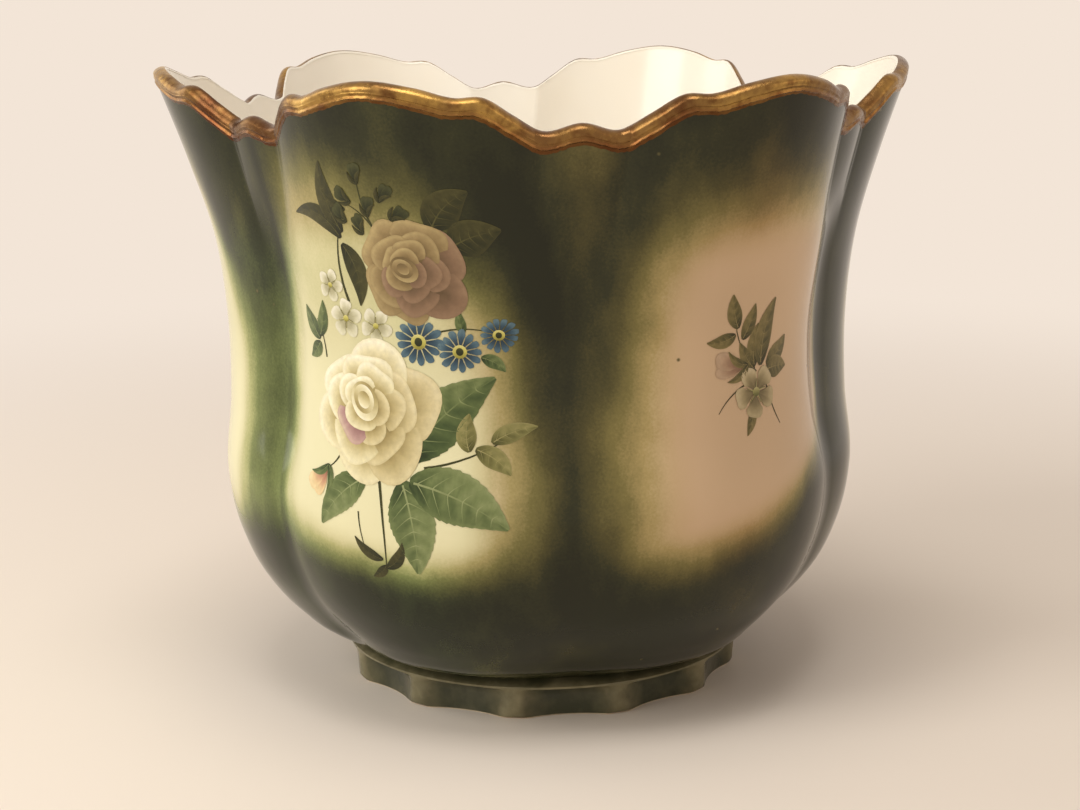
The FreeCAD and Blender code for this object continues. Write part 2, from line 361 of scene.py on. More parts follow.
def angle_round(points):
    """The angle of each point from the front crease, towards +X."""
    return np.degrees(np.arctan2(points[:, 0], -points[:, 1]))


def lip_height(from_crease):
    """The lip's height at an angle from the nearest crease."""
    angles, shares = np.array(scallop_shares).T
    angles = np.concatenate([-angles[3:0:-1], angles, LOBE - angles[-2:-5:-1]])
    shares = np.concatenate([shares[3:0:-1], shares, shares[-2:-5:-1]])
    return foot_height + body_height - smooth_through(angles, shares, from_crease) * scallop_depth


print("crown and crease radius at mid height:", [round(float(v), 1) for v in section_at(120.0)[:2]])

# %% [markdown]
# ## Rings and skins
# Every fired layer is a closed skin: one ring of points after another, joined by quads. The
# columns of points follow the two grooves beside each tab, so that those edges stay crisp.
# A skin whose rings come back to the first one is a thin coat with two sides, and one that
# starts and ends at the pot's middle is closed there by two caps.

# %% Columns and rings
class Columns:
    """Columns of points round the pot that follow the grooves at every height."""

    def __init__(self, valley_steps, lobe_steps):
        valley = [(1 - (1 - k / valley_steps)**1.5, 0) for k in range(valley_steps + 1)]
        lobe = [(1, (k / lobe_steps)**1.35) for k in range(1, lobe_steps + 1)]
        half = valley + lobe
        rows = []
        for number in range(LOBES):
            rows += [(number * LOBE, 1, *column) for column in half]
            rows += [(number * LOBE + LOBE, -1, *column) for column in half[-2:0:-1]]
        self.base, self.side, self.in_valley, self.in_lobe = np.array(rows).T
        self.lip = lip_height(self.from_crease(7.0))

    def from_crease(self, joint_angle):
        """Each column's angle from its crease, where the groove is at a given angle."""
        return self.in_valley * joint_angle + self.in_lobe * (HALF_LOBE - joint_angle)

    def beside(self, z, across, up):
        """The wall's points at heights, moved outward and upward by two lengths."""
        from_crease = self.from_crease(section_at(z)[3])
        radius = wall_radius(from_crease, z) + across
        return place_round(self.base + self.side * from_crease, radius, z + up)

    def ring(self, z, offset):
        """The wall's points at a height, moved outward by an offset."""
        z = np.broadcast_to(z, self.base.shape)
        radial, upward = wall_lean(z)
        return self.beside(z, offset * radial, offset * upward)

    def wall_rings(self, shares, offset, short=0.0):
        """Rings at shares of the way up the wall, which ends this much short of the lip."""
        rise = self.lip - short - foot_height
        return [self.ring(foot_height + share * rise, offset) for share in shares]

    def circle(self, radius, z):
        """A round ring with one point in each column."""
        return place_round(self.base + self.side * self.from_crease(6.5), radius, z)


# %% Skins
def add_piece(name, points, faces, material, sharp_angle=50):
    """A mesh object that rides on the pot, from points in millimetres."""
    piece = mesh_object(name, (np.asarray(points) * MM).tolist(), faces, material)
    piece.data.shade_smooth()
    piece.data.set_sharp_from_angle(angle=math.radians(sharp_angle))
    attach(piece, "root")
    print(name, "has", len(faces), "faces")
    return piece


def skin(name, rings, material, capped=False):
    """A closed skin over rings of points: looped, or closed by a cap at each end."""
    rings = np.array(rings)
    rows, columns = rings.shape[:2]
    index = np.arange(rows * columns).reshape(rows, columns)
    if not capped:
        index = np.vstack([index, index[:1]])
    low = index[:-1]
    high = index[1:]
    quads = np.stack([low, np.roll(low, -1, 1), np.roll(high, -1, 1), high], axis=-1)
    faces = quads.reshape(-1, 4).tolist()
    if capped:
        faces += [index[0][::-1].tolist(), index[-1].tolist()]
    return add_piece(name, rings.reshape(-1, 3), faces, material)


def coat_node(name, material):
    """Gives a CAD node its material."""
    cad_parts[name].data.materials.clear()
    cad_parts[name].data.materials.append(material)


def set_floats(piece, name, values):
    """Stores one number a point on a piece, for its material to read."""
    attribute = piece.data.attributes.new(name, "FLOAT", "POINT")
    attribute.data.foreach_set("value", np.asarray(values, np.float32).ravel())


coarse = Columns(5, 17)
fine = Columns(22, 66)
print("columns round the pot:", len(coarse.base), "and", len(fine.base))

# %% [markdown]
# ## Effects that several glazes share
# A fired glaze is never a perfect mirror: it ripples a little as it runs, and it carries
# tiny kiln specks. Both are built once as node groups with their own sockets, and each
# material places them with its own values.

# %% Glaze ripple group
def new_group(name, inputs, output):
    """An empty shader node group, its inputs to read from and its output to link to."""
    group = bpy.data.node_groups.new(name, "ShaderNodeTree")
    for socket, value in inputs.items():
        made = group.interface.new_socket(socket, in_out="INPUT", socket_type="NodeSocketFloat")
        made.default_value = value
    group.interface.new_socket(output, in_out="OUTPUT", socket_type="NodeSocketFloat")
    given = group.nodes.new("NodeGroupInput").outputs
    return group, given, group.nodes.new("NodeGroupOutput").inputs[output]


ripple_group, given, result = new_group("glaze_ripple", {"Scale": 40.0, "Pitting": 0.2}, "Height")
place = object_place(ripple_group)
broad = noise(ripple_group, place, given["Scale"], 2.0, 0.5)
fine_scale = work_out(ripple_group, "MULTIPLY", given["Scale"], 22.0)
pits = noise(ripple_group, place, fine_scale, 2.0, 0.6)
pits = work_out(ripple_group, "MULTIPLY", pits, given["Pitting"])
ripple_group.links.new(work_out(ripple_group, "ADD", broad, pits), result)

# %% Kiln speck group
speck_group, given, result = new_group("kiln_specks", {"Scale": 260.0, "Amount": 0.1}, "Mask")
sockets = {"Vector": object_place(speck_group), "Scale": given["Scale"]}
cells = add_node(speck_group, "TexVoronoi", sockets).outputs
tone = add_node(speck_group, "SeparateColor", {0: cells["Color"]}).outputs[0]
chosen = work_out(speck_group, "LESS_THAN", tone, given["Amount"])
dot = spread(speck_group, cells["Distance"], 0.10, 0.28, 1, 0)
speck_group.links.new(work_out(speck_group, "MULTIPLY", chosen, dot), result)


def use_group(tree, group, **values):
    """Places a node group in a material with its own values."""
    return add_node(tree, "Group", values, node_tree=group).outputs[0]


def bumped(tree, shader, height, strength, distance):
    """Gives a shader a bump of a height pattern."""
    bump = add_node(tree, "Bump", {"Height": height, "Strength": strength, "Distance": distance})
    tree.links.new(bump.outputs["Normal"], shader.inputs["Normal"])


def rippled(tree, shader, scale, pitting, strength, distance=0.0006):
    """Gives a shader the glaze's ripple as a bump."""
    height = use_group(tree, ripple_group, Scale=scale, Pitting=pitting)
    bumped(tree, shader, height, strength, distance)


def specked(tree, shader, colour, scale, amount, speck):
    """Gives a shader its colour, with kiln specks over it."""
    specks = use_group(tree, speck_group, Scale=scale, Amount=amount)
    colour = blend_colours(tree, specks, colour, paint(*speck))
    tree.links.new(colour, shader.inputs["Base Color"])


print("node groups:", [g.name for g in bpy.data.node_groups])

# %% [markdown]
# ## Bare earthenware
# The clay shows only on the foot's resting face, buff and matt with fine pores. The body is
# built as its own closed piece between the glazes, with the lip rolled over and a rounded
# corner where wall and floor meet inside, as slip leaves it in a mould.

# %% Earthenware material
earthenware, tree, shader, place = new_material("earthenware", Roughness=0.85)
tone = colour_ramp(tree, noise(tree, place, 35, 6.0), (0.3, 198, 178, 146), (0.7, 221, 205, 176))
specked(tree, shader, tone, 420, 0.22, (140, 110, 82))
bumped(tree, shader, noise(tree, place, 900, 3.0), 0.35, 0.0002)


# %% The lip and the inside
def inner_offset(z):
    """How far inside the wall's face the clay's inner face lies at a height."""
    share = (z - sections[0, 0]) / (sections[-1, 0] - sections[0, 0])
    return -(wall_low + (wall_high - wall_low) * share)


def lip_roll(columns, coat, start, end, steps):
    """Rings over the rolled lip, from one angle to another: 0 is its outside, 180 its inside."""
    rings = []
    for turn in np.radians(np.linspace(start, end, steps)):
        across = -wall_high / 2 + (wall_high / 2 + coat) * math.cos(turn)
        up = lip_fall * (1 - math.cos(turn)) / 2 + (lip_roundness + coat) * math.sin(turn)
        rings.append(columns.beside(columns.lip, across, up))
    return rings


def inside_rings(columns, coat, rows):
    """Rings from the lip down the inside, round the corner and in to the middle."""
    rings = []
    bottom = inside_floor + coat
    top = columns.lip + lip_fall / 2
    for share in np.linspace(0, 1, rows)**0.9:
        z = top - share * (top - bottom - inside_corner)
        rings.append(columns.ring(z, inner_offset(z) - coat))
    raised = rings[-1][0, 2] - bottom - inside_corner
    for turn in np.radians(np.linspace(10, 90, 9)):
        z = bottom + inside_corner * (1 - math.sin(turn))
        below = columns.ring(z - raised, inner_offset(z - raised) - coat)
        radius = np.hypot(below[:, 0], below[:, 1]) - inside_corner * (1 - math.cos(turn))
        rings.append(place_round(angle_round(below), radius, z))
    return rings + [columns.circle(radius, bottom) for radius in (60, 45, 30, 15, 4)]


# %% The clay body
body_rings = [coarse.circle(4.0, foot_height), coarse.circle(60.0, foot_height)]
body_rings += coarse.wall_rings(np.linspace(0, 1, 40), 0)
body_rings += lip_roll(coarse, 0, 20, 160, 7)
body_rings += inside_rings(coarse, 0, 40)
body_piece = skin("clay_body", body_rings, earthenware, capped=True)
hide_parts("earthenware_body")
coat_node("foot_ring", earthenware)

# %% [markdown]
# ## Airbrushed outside glaze
# Each panel is cream in its middle, and green was sprayed in from its four edges: thin and
# olive where the spray starts, and almost black where two sprays cross. Over the upper half
# of the cooler panels a little more green is laid, as painted shade under the flaring lip.
# How much green each point has got is worked out from its place on its panel and stored in
# the mesh, with how much painted warm shade it gets there. The material roughens the first
# number with drifts and fine droplets, and turns it into colour by a cream-to-green ramp and
# a darker, warmer copy of it that paints warm shade.

# %% How much green was sprayed
# For each panel from -30 degrees on, towards +X: the angle where green starts on its left and
# how many degrees it takes to grow full, the same on its right, the height where green
# starts below and how far that rises from left to right, and the same above
green_starts = np.array([
    (-23, 11, 8.5, 20, 79, -3, 170, -22),
    (-9, 24, 26, 10, 87, 38, 167, 8),
    (-5, 14, 12, 15, 84, 0, 164, 8),
    (-14, 15, 14, 14, 88, 12, 164, 0),
    (-16, 13, 12, 16, 82, -10, 162, -8),
    (-15, 14, 11, 11, 82, 0, 180, 0),
])
lower_fade = 28.0
upper_fade = 50.0
# Painted warm shade on each of those panels, laid as a tan blush on the cream, and on the green in the
# crease before each
panel_warm_shade = [0, 1, 0.4, 0, 0.9, 0]
crease_warm_shade = [0, 0.78, 0.70, 0.2, 0.7, 0.5]
# One crease has lighter green than the others
lighter_crease = -60.0
# Heights over which the painted shade under the lip, the panels' narrowing, and the painted reflection
# and warm shade at the top set in
upper_shade_heights = (114, 158)
narrow_heights = (127, 195)
top_heights = (160, 190)


def smooth_step(low, high, value):
    """A soft step from 0 at one value to 1 at another."""
    share = np.clip((value - low) / (high - low), 0, 1)
    return share * share * (3 - 2 * share)


def degrees_from(middle, angle):
    """How many degrees an angle is away from another."""
    return np.abs(np.mod(angle - middle + 180, 360) - 180)


def sprayed_green(angle, z):
    """How much green a point outside has got, and how much painted warm shade it gets."""
    panel = np.floor(np.mod(angle + LOBE, 360) / LOBE).astype(int) % LOBES
    across = np.mod(angle + LOBE, LOBE) - HALF_LOBE
    left, left_fade, right, right_fade, lower, lower_rise, upper, upper_rise = green_starts[panel].T
    tilt = across / LOBE
    corner = (across / HALF_LOBE)**2
    narrowing = smooth_step(*narrow_heights, z)
    sides = [smooth_step(0, 1, reached) for reached in (
        (left + 3 * narrowing - across) / left_fade,
        (across - right + 9 * narrowing) / right_fade,
        (lower + lower_rise * tilt + 12 * corner - z) / lower_fade,
        (z - upper - upper_rise * tilt + 14 * corner) / upper_fade,
    )]
    # How much painted warm shade the panel's cream gets
    middle_warm_shade = np.array(panel_warm_shade)[panel]
    # A little more green over the upper half of the cooler panels: painted shade under the flaring lip
    sides.append(0.15 * smooth_step(*upper_shade_heights, z) * (1 - middle_warm_shade))
    laid = 1 - np.prod([1 - side for side in sides], axis=0)
    from_front = degrees_from(0, angle)
    # More green in the creases away from the front: pooled glaze and painted crease shade
    hollow_shade = smooth_step(HALF_LOBE - 1.8, HALF_LOBE, np.abs(across)) * smooth_step(20, 40, from_front)
    # Less green down the front crease at middle heights and at its top: a painted reflection
    glow = smooth_step(60, 85, z) * smooth_step(150, 115, z) * smooth_step(14, 0, from_front)
    glow += 2.6 * smooth_step(*top_heights, z) * smooth_step(12, 0, from_front)
    # Less green round that one crease, at middle heights
    thin = smooth_step(34, 12, degrees_from(lighter_crease, angle))
    thin *= smooth_step(190, 115, z) * smooth_step(55, 85, z)
    # Painted warm shade also warms the green in the creases and over the top of the pot
    ends = crease_warm_shade + crease_warm_shade[:1]
    edge_warm_shade = np.interp(np.mod(angle + LOBE, 360), np.arange(LOBES + 1) * LOBE, ends)
    tinged = smooth_step(0, 0.35, laid)
    outward = smooth_step(-3, 14, np.abs(across)) * tinged
    warm_shade = middle_warm_shade + (edge_warm_shade - middle_warm_shade) * outward
    warm_shade = np.maximum(warm_shade, 0.6 * smooth_step(*top_heights, z) * tinged)
    return laid * (1 - 0.12 * glow) * (1 - 0.36 * thin) + 0.16 * hollow_shade, warm_shade


# %% Airbrushed glaze material
airbrushed, tree, shader, place = new_material("airbrushed_glaze", Roughness=0.11, IOR=1.34)
green = stored(tree, "spray_green")
stretched = add_node(tree, "Mapping", {"Vector": place, "Scale": (1.0, 1.0, 0.3)}).outputs[0]
streaks = spread(tree, noise(tree, stretched, 60, 3.0), 0.25, 0.75, -0.11, 0.11)
clouds = spread(tree, noise(tree, place, 22, 3.0), 0.25, 0.75, -0.13, 0.13)
droplets = spread(tree, noise(tree, place, 1100, 2.0), 0.2, 0.8, -0.05, 0.05)
drift = work_out(tree, "ADD", work_out(tree, "ADD", streaks, clouds), droplets)
drift = work_out(tree, "MULTIPLY", spread(tree, green, 0, 0.3), drift)
laid = work_out(tree, "ADD", work_out(tree, "MULTIPLY", green, 0.96), drift)
cool = colour_ramp(
    tree, laid, (0, 230, 225, 184), (0.14, 214, 210, 164), (0.32, 174, 178, 120),
    (0.52, 118, 130, 76), (0.72, 78, 88, 48), (0.88, 46, 54, 30), (1, 32, 38, 20))
# The same ramp, darker and warmer: painted warm shade
warm_shade_ramp = colour_ramp(
    tree, laid, (0, 205, 176, 142), (0.14, 193, 164, 125), (0.32, 164, 136, 88),
    (0.52, 118, 100, 56), (0.72, 80, 69, 36), (0.88, 49, 47, 25), (1, 36, 36, 19))
tinted = blend_colours(tree, stored(tree, "painted_warm_shade"), cool, warm_shade_ramp)
mottled = spread(tree, noise(tree, place, 14, 2.0), 0.3, 0.7, 0.93, 1.04)
tinted = blend_colours(tree, 1.0, tinted, mottled, "MULTIPLY")
specked(tree, shader, tinted, 330, 0.003, (96, 88, 54))
rippled(tree, shader, 38.0, 0.02, 0.35)

# %% The outside glaze
glaze_rows = np.linspace(0, 1, 96)
hidden_under_gold = 3.2
foot_neck = 70.6
outside_rings = [coarse.circle(foot_neck, foot_height - glaze)]
outside_rings += coarse.wall_rings(glaze_rows, glaze, hidden_under_gold)
outside_rings += coarse.wall_rings(glaze_rows[::-6], clay_gap, hidden_under_gold)
outside_rings.append(coarse.circle(foot_neck, foot_height))
outside_piece = skin("outside_glaze_coat", outside_rings, airbrushed)
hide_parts("outside_glaze")

points = np.array(outside_rings).reshape(-1, 3)
green_laid, glaze_warm_shade = sprayed_green(angle_round(points), points[:, 2])
set_floats(outside_piece, "spray_green", green_laid)
set_floats(outside_piece, "painted_warm_shade", glaze_warm_shade)
print("share of points that stay cream:", round(float((green_laid < 0.1).mean()), 2))

# %% [markdown]
# ## White lining
# The inside is one poured coat of white glaze. It is a little warm, is painted slightly
# greyer in the corner round the floor as painted shade, and carries a few kiln specks.

# %% Lining
lining, tree, shader, place = new_material("white_lining", Roughness=0.16)
tone = colour_ramp(tree, noise(tree, place, 14, 3.0), (0.3, 248, 240, 224), (0.7, 252, 247, 236))
up = add_node(tree, "SeparateXYZ", {0: place}).outputs["Z"]
# Greyer low down, in the corner round the floor: painted shade
hollow_shade = spread(tree, up, 0.02, 0.05, 0.5, 0)
tone = blend_colours(tree, hollow_shade, tone, paint(206, 200, 184))
specked(tree, shader, tone, 300, 0.01, (168, 146, 118))
rippled(tree, shader, 30.0, 0.02, 0.3)

lining_rings = inside_rings(coarse, clay_gap, 46)[::-1]
lining_rings += lip_roll(coarse, clay_gap, 170, 110, 4) + lip_roll(coarse, glaze, 110, 175, 5)
lining_rings += inside_rings(coarse, glaze, 46)
lining_piece = skin("white_lining_coat", lining_rings, lining, capped=True)
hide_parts("inside_glaze")

# %% [markdown]
# ## Gold lip
# Gold was brushed on by hand over the top of the lip and down its outside, where a fine
# raised bead runs along the scallops. The brush left an uneven lower edge and thin coppery
# places, and the gold below the bead is darkened down to its edge as painted shade.


# %% Gold lip
def wobble(angle, waves, seed):
    """An uneven line round the pot between about -1 and 1, the same on each run."""
    chance = np.random.default_rng(seed)
    total = np.zeros_like(angle)
    for count in waves:
        total += chance.uniform(0.5, 1.0) * np.cos(np.radians(count * angle) + chance.uniform(0, 7))
    return total / len(waves)


from_crease = fine.from_crease(7.0)
fine_angle = fine.base + fine.side * from_crease
lip_slope = np.abs(np.gradient(fine.lip)) / np.maximum(np.abs(np.gradient(fine_angle)), 0.02)
padded = np.r_[lip_slope[-8:], lip_slope, lip_slope[:8]]
steep = np.clip(np.convolve(padded, np.ones(17) / 17, "valid"), 0, 1)
brush_edge = 3.2 + 2.2 * steep + 0.42 * wobble(fine_angle, (31, 47, 83, 131), 3)
brush_edge += 0.30 * wobble(fine_angle, (211, 277, 307, 389), 4)

gold_coat = glaze + 0.12
gold_gap = 0.1
# A fold, a hollow and a bead: how high, at what share of the way down, and how wide
swellings = [(0.20, 0.24, 0.08), (-0.09, 0.43, 0.09), (0.46, 0.65, 0.085)]
gold_rings = lip_roll(fine, gold_coat, 128, 8, 11)
over_lip = len(gold_rings)
edge_shares = np.linspace(0.1, 1, 22)
for share in edge_shares:
    swell = sum(high * math.exp(-((share - at) / wide)**2) for high, at, wide in swellings)
    thin = 0.08 * max(share - 0.93, 0) / 0.07
    gold_rings.append(fine.ring(fine.lip - share * brush_edge, gold_coat + swell - thin))
for share in (1.0, 0.55, 0.1):
    gold_rings.append(fine.ring(fine.lip - share * brush_edge, gold_gap))
gold_rings += lip_roll(fine, gold_gap, 20, 128, 5)

gilding, tree, shader, place = new_material("gilding", Metallic=1.0)
along = stored(tree, "down_the_band")
copper = colour_ramp(
    tree, noise(tree, place, 26, 5.0, 0.62), (0.34, 96, 64, 40), (0.47, 138, 106, 60),
    (0.58, 182, 145, 78), (0.70, 218, 184, 110))
# Thin gold in the creases, rubbed places, the foot of the bead, and painted shade from below the bead
# to the edge
for mask, tone in [
    (work_out(tree, "MULTIPLY", stored(tree, "thin_gold"), 0.5), (98, 64, 44)),
    (spread(tree, noise(tree, place, 210, 5.0), 0.48, 0.66, 0, 0.65), (88, 52, 28)),
    (spread(tree, along, 0.40, 0.56, 0, 0.35), (116, 66, 38)),
    # Painted shade under the bead, dark down to the gold's lower edge
    (spread(tree, along, 0.70, 0.80, 0, 0.55), (64, 36, 20)),
]:
    copper = blend_colours(tree, mask, copper, paint(*tone))
tree.links.new(copper, shader.inputs["Base Color"])
rough = spread(tree, noise(tree, place, 180, 4.0), 0.3, 0.7, 0.16, 0.38)
tree.links.new(rough, shader.inputs["Roughness"])
rippled(tree, shader, 170.0, 0.1, 0.5, 0.0008)

gold_piece = skin("gold_lip_band", gold_rings, gilding)
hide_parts("gilt_rim")
down = np.ones((len(gold_rings), len(fine.base)))
down[:over_lip] = 0
down[over_lip:over_lip + len(edge_shares)] = edge_shares[:, None]
set_floats(gold_piece, "down_the_band", down)
thin_places = 0.85 * smooth_step(19, 4, from_crease)
set_floats(gold_piece, "thin_gold", np.tile(thin_places, len(gold_rings)))

# %% [markdown]
# ## Fluted foot
# Twelve shallow flutes are cut round the foot ring. Its glaze is the same dark green: it
# runs thin and olive over the lands between the flutes and pools almost black in them, and
# the narrow neck under the body is darkened as painted shade.

# %% Fluted foot
FLUTES = 12
foot_radius = 74.5
flute_depth = 4.8
flute_bend = 46.0
flute_angle = 360 / FLUTES
flute_top = 12.5
flute_run_out = 2.2
edge_sharpness = 3
foot_angle = np.arange(FLUTES * 20) * 360 / (FLUTES * 20)


def foot_outline(beyond, grow, z):
    """The foot's radius round the pot: the ring's circle, cut by the flutes' arcs."""
    turn = np.radians(np.mod(foot_angle + flute_angle / 2, flute_angle) - flute_angle / 2)
    centre = foot_radius - flute_depth + flute_bend + grow
    cut = centre * np.cos(turn) - np.sqrt(flute_bend**2 - (centre * np.sin(turn))**2)
    cut += (foot_radius + 3 - cut) * smooth_step(flute_top - flute_run_out, flute_top, z)
    side = foot_radius + beyond + grow
    return -np.logaddexp(-cut * edge_sharpness, -side * edge_sharpness) / edge_sharpness


# Heights up the foot, and how far its side is beyond foot_radius
foot_profile = [
    (0.5, -0.8), (0.9, -0.35), (1.7, 0), (4.5, 0.2), (8.0, 0.5), (9.6, 0.65), (10.8, 0.8),
    (11.8, 0.95), (12.6, 0.9), (13.1, 0), (14.2, -2.2), (15.1, -3.6), (16.0, -4.8),
]
foot_rings = []
for coat, profile in ((glaze, foot_profile), (clay_gap, foot_profile[::-1])):
    for z, beyond in profile:
        foot_rings.append(place_round(foot_angle, foot_outline(beyond, coat, z), z))

green_glaze, tree, shader, place = new_material("green_glaze", Roughness=0.2, IOR=1.46)
flat = add_node(tree, "VectorMath", {0: place, 1: (1.0, 1.0, 0.0)}, operation="MULTIPLY").outputs[0]
out = add_node(tree, "VectorMath", {0: flat}, operation="LENGTH").outputs["Value"]
# Darker further in: pooled glaze in the flutes, and painted shade on the neck under the body
thin = spread(tree, out, 0.0710, 0.0758, 0, 0.8)
patchy = spread(tree, noise(tree, place, 90, 4.0), 0.3, 0.7, -0.25, 0.35)
thin = work_out(tree, "ADD", thin, patchy)
tone = colour_ramp(tree, thin, (0, 58, 60, 42), (0.5, 92, 88, 64), (1, 136, 128, 98))
tree.links.new(tone, shader.inputs["Base Color"])
rippled(tree, shader, 90.0, 0.05, 0.5)
foot_piece = skin("fluted_foot_glaze", foot_rings, green_glaze)
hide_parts("foot_glaze")
coat_node("recess_glaze", green_glaze)

# %% [markdown]
# ## Printed flowers
# A transfer is a sheet of ceramic ink that is slid onto the glazed panel and fired. Each
# petal, leaf and stem here is a thin closed patch of ink with its shading stored at its
# points, and later patches lie a hair above earlier ones, as a painter works from the back
# to the front. Colours are mixed in display values, the way they would be picked by eye.

# %% Patches of ink
ink_lift = 0.08
ink_step = 0.025
ink_thickness = 0.015


def grid(rows, columns):
    """Two tables over a patch: -1 to 1 from side to side, and 0 to 1 from base to tip."""
    return np.meshgrid(np.linspace(-1, 1, columns), np.linspace(0, 1, rows))


def shades(tone, palette):
    """Colours picked along a palette, from 0 at its dark end to 1 at its light end."""
    places = np.linspace(0, 1, len(palette))
    channels = np.array(palette, float).T
    return np.stack([np.interp(tone, places, channel) for channel in channels], axis=-1)


def bowed_line(start, end, bow, share, aside):
    """Places along a bowed line and beside it; bow is a share of the line's length."""
    start = np.array(start, float)
    run = np.array(end, float) - start
    side = np.array((-run[1], run[0]))
    share = share[..., None]
    points = start + run * share + side * bow * 4 * share * (1 - share)
    heading = run + side * bow * 4 * (1 - 2 * share)
    heading /= np.linalg.norm(heading, axis=-1, keepdims=True)
    outward = np.stack([-heading[..., 1], heading[..., 0]], axis=-1)
    return np.moveaxis(points + outward * aside[..., None], -1, 0)


class Print:
    """A transfer: closed patches of ink, in millimetres across and up a panel."""

    def __init__(self, seed):
        self.chance = np.random.default_rng(seed)
        self.places = []
        self.tints = []
        self.faces = []
        self.count = 0
        self.layer = 0

    def patch(self, across, up, tint):
        """One grid of points as a thin closed plate on the present layer."""
        turned = np.sum(np.gradient(across, axis=1) * np.gradient(up, axis=0)
                        - np.gradient(up, axis=1) * np.gradient(across, axis=0))
        if turned < 0:
            across, up, tint = [part[:, ::-1] for part in (across, up, tint)]
        size = across.size
        top = self.count + np.arange(size).reshape(across.shape)
        lift = ink_lift + self.layer * ink_step
        for height in (lift, lift - ink_thickness):
            flat = np.stack([across, up, np.full_like(across, height)], axis=-1)
            self.places.append(flat.reshape(-1, 3))
            self.tints.append(tint.reshape(-1, 3))
        quads = np.stack([top[:-1, :-1], top[:-1, 1:], top[1:, 1:], top[1:, :-1]], axis=-1)
        quads = quads.reshape(-1, 4)
        edge = np.concatenate([top[0, :-1], top[:-1, -1], top[-1, :0:-1], top[:0:-1, 0]])
        after = np.roll(edge, -1)
        sides = np.stack([after, edge, edge + size, after + size], axis=-1)
        self.faces += [quads, quads[:, ::-1] + size, sides]
        self.count += 2 * size

    def petal(self, centre, turn, start, reach, width, palette, dent, ruffle, rows=12, columns=15):
        """A fan-shaped petal: dark at its base, with a light lip."""
        u, v = grid(rows, columns)
        v = v**0.8
        waves = self.chance.uniform(2.5, 5.0)
        phase = self.chance.uniform(0, 6)
        edge = reach * (1 - dent * np.abs(u)**3 + ruffle * np.sin(u * waves + phase))
        distance = start + (edge - start) * v
        angle = np.radians(turn + width * u * (0.5 + 0.5 * np.sqrt(v)))
        tone = np.interp(v, petal_shares, petal_tones)
        tone = tone * (0.86 + 0.14 * np.cos(angle - np.radians(light_turn)))
        tone = tone - 0.20 * np.abs(u)**5 + self.chance.normal(0, 0.025, columns)
        tint = shades(tone, palette)
        self.patch(centre[0] + distance * np.cos(angle), centre[1] + distance * np.sin(angle), tint)

    def dab(self, centre, wide, tall, turn, palette, lean):
        """An oval dab of ink, lighter towards one side and at its rim."""
        u, v = np.meshgrid(np.linspace(-1, 1, 9), np.linspace(-1, 1, 9))
        x = u * np.sqrt(1 - v * v / 2)
        y = v * np.sqrt(1 - u * u / 2)
        away = np.hypot(x, y)
        tilt = np.radians(lean)
        tone = 0.5 + 0.42 * (x * np.cos(tilt) + y * np.sin(tilt)) + 0.08 * away**6
        cos = math.cos(math.radians(turn))
        sin = math.sin(math.radians(turn))
        across = centre[0] + x * wide * cos - y * tall * sin
        up = centre[1] + x * wide * sin + y * tall * cos
        self.patch(across, up, shades(tone, palette))

    def stroke(self, start, end, bow, width, palette):
        """A brush stroke along a bowed line, thinner towards its end."""
        u, v = grid(9, 2)
        half = width / 2 * (1 - (1 - stroke_end) * v)
        self.patch(*bowed_line(start, end, bow, v, half * u), shades(0.5 - 0.4 * u, palette))

    def leaf(self, base, tip, width, palette, bow, teeth=0, veins=5):
        """A leaf from its base to its tip, with a lighter half, veins and a toothed edge."""
        rows = 4 * teeth + 1 if teeth else 17
        u, v = grid(rows, 9)

        def place(u, v):
            half = width / 2 * np.sin(np.pi * np.clip(0.02 + 0.96 * v, 0, 1)**0.78)**0.9
            half = half * (1 + 0.07 * np.mod(v * teeth + 0.001, 1) * np.abs(u))
            return bowed_line(base, tip, bow, v, half * u)

        ribs = np.cos(2 * np.pi * (v * veins - 0.75 * np.abs(u)))
        tone = 0.42 + 0.13 * ribs * (1 - u * u) + 0.12 * np.sign(u) + 0.2 * smooth_step(0.0, 0.7, v)
        tone += 0.16 * smooth_step(0.8, 1.0, np.abs(u)) - 0.3 * smooth_step(0.3, 0.0, v)
        tone += self.chance.normal(0, 0.03, u.shape)
        self.patch(*place(u, v), shades(tone, palette[:-1]))
        self.layer += 1
        pale = [palette[-2], palette[-3]]
        along = np.linspace(0.04, 0.96, 13)
        lines = [(np.zeros(13), along, width * 0.022)]
        for number in range(veins):
            start = (number + 0.5) / (veins + 0.6)
            for side in (-1, 1):
                reach = np.linspace(0.0, 0.82, 7)
                lines.append((side * reach, start + 0.24 * reach**1.3 * (1.05 - start), width * 0.011))
        for across, up, half in lines:
            x, y = place(across, np.clip(up, 0, 0.98))
            run_x = np.gradient(x)
            run_y = np.gradient(y)
            side, fade = grid(len(x), 2)
            thin = half * (1 - (1 - stroke_end) * fade) * side / np.hypot(run_x, run_y)[:, None]
            grid_x = x[:, None] - run_y[:, None] * thin
            grid_y = y[:, None] + run_x[:, None] * thin
            self.patch(grid_x, grid_y, shades(fade, pale))
        self.layer -= 1


light_turn = 125
stroke_end = 0.35
petal_shares = [0.0, 0.45, 0.62, 0.8, 0.93, 1.0]
petal_tones = [0.10, 0.30, 0.55, 0.82, 1.0, 0.90]

# %% [markdown]
# ## Flowers from patches
# A rose is rings of petals that shrink towards a wrapped bud. Neighbours in a ring lie on
# two layers, so that each overlaps the next. Daisies and small blossoms are one ring round
# an eye, and a bud is two petals held by sepals.

# %% Flower functions
def away_from(centre, turn, reach):
    """The point in a direction in degrees and at a distance from another."""
    turn = math.radians(turn)
    return centre[0] + reach * math.cos(turn), centre[1] + reach * math.sin(turn)


